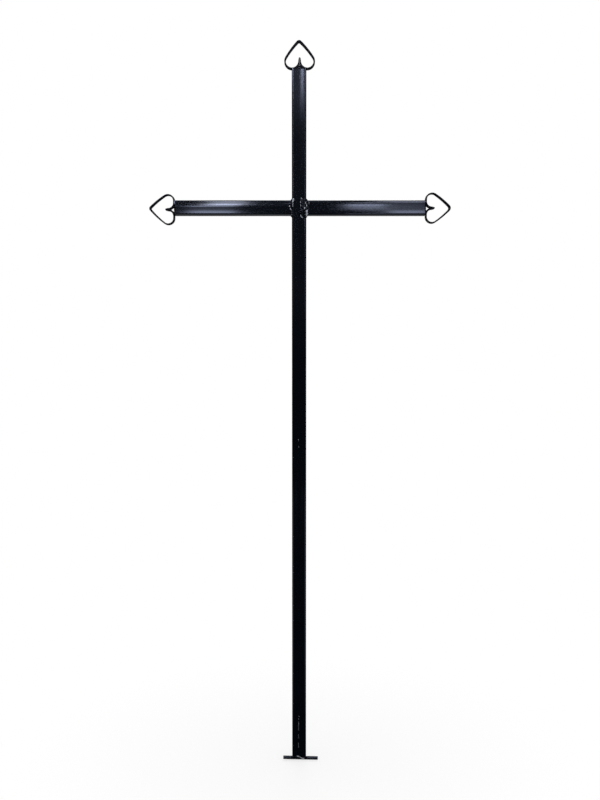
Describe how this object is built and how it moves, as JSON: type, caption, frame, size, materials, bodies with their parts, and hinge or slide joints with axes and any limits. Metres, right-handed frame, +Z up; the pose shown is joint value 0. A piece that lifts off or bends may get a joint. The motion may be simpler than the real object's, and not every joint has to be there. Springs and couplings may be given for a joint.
{
  "type": "grave cross",
  "caption": "Tall thin grave cross welded from square steel tube, with open strip hearts at its ends and a rod across its foot.",
  "frame": {"origin": "under the middle of the post, at the lowest point of the rod across its foot, where it is set in the ground", "axes": "+Z up along the post, X along the arms, the front towards -Y"},
  "size_m": [0.833, 0.045, 2.0302],
  "materials": {
    "tube_paint": "gloss black enamel with a blue cast on smooth steel tube",
    "heart_paint": "gloss black enamel on forged strip",
    "weld_paint": "gloss black enamel pooled over rough weld beads"
  },
  "bodies": {
    "root": {"post": "tube_paint", "left_arm": "tube_paint", "right_arm": "tube_paint", "post_cap": "tube_paint", "left_arm_cap": "tube_paint", "right_arm_cap": "tube_paint", "top_heart": "heart_paint", "left_heart": "heart_paint", "right_heart": "heart_paint", "foot_rod": "heart_paint", "left_arm_weld": "weld_paint", "right_arm_weld": "weld_paint", "foot_weld": "weld_paint"}
  },
  "joints": []
}
